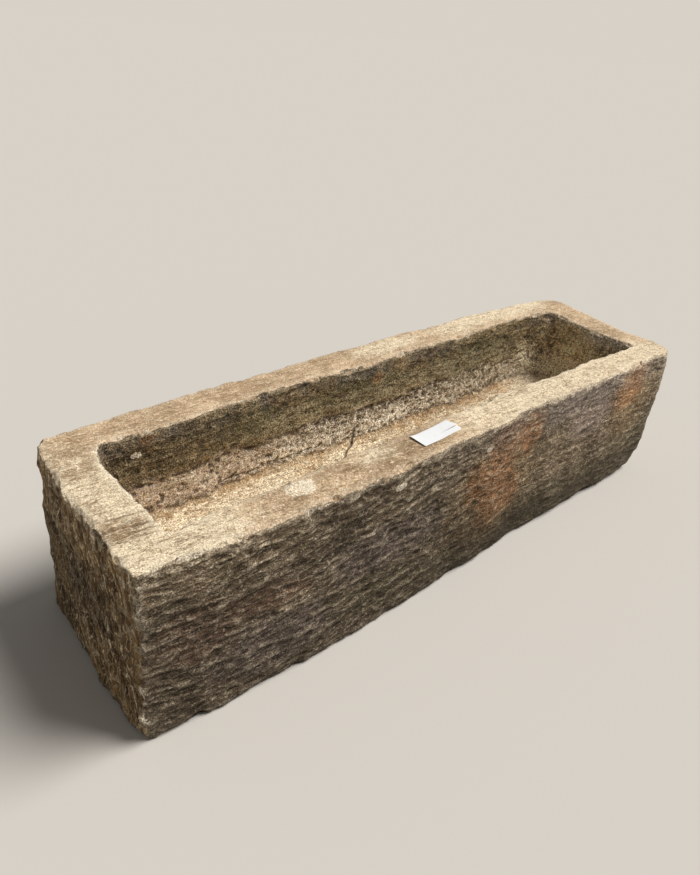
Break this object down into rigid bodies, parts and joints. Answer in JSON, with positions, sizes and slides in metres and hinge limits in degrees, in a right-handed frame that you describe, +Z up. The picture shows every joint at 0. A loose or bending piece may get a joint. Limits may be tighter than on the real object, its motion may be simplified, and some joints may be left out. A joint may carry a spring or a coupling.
{
  "type": "stone trough planter",
  "caption": "Long rectangular trough hewn from one block of weathered stone, with a thick flat rim and a deep sloping cavity for soil and plants, and a blank paper tag.",
  "frame": {"origin": "on the ground, at the centre of the bounding box of the trough's foot", "axes": "+X along the trough to the right, +Y from the front to the back, +Z up out of the cavity"},
  "size_m": [1.6682, 0.5006, 0.3908],
  "materials": {
    "weathered_stone": "hewn with a chisel and weathered, rough and matt",
    "tag_paper": "plain uncoated paper, matt, torn at one end"
  },
  "bodies": {
    "root": {"trough_block": "weathered_stone", "paper_tag": "tag_paper"}
  },
  "joints": []
}
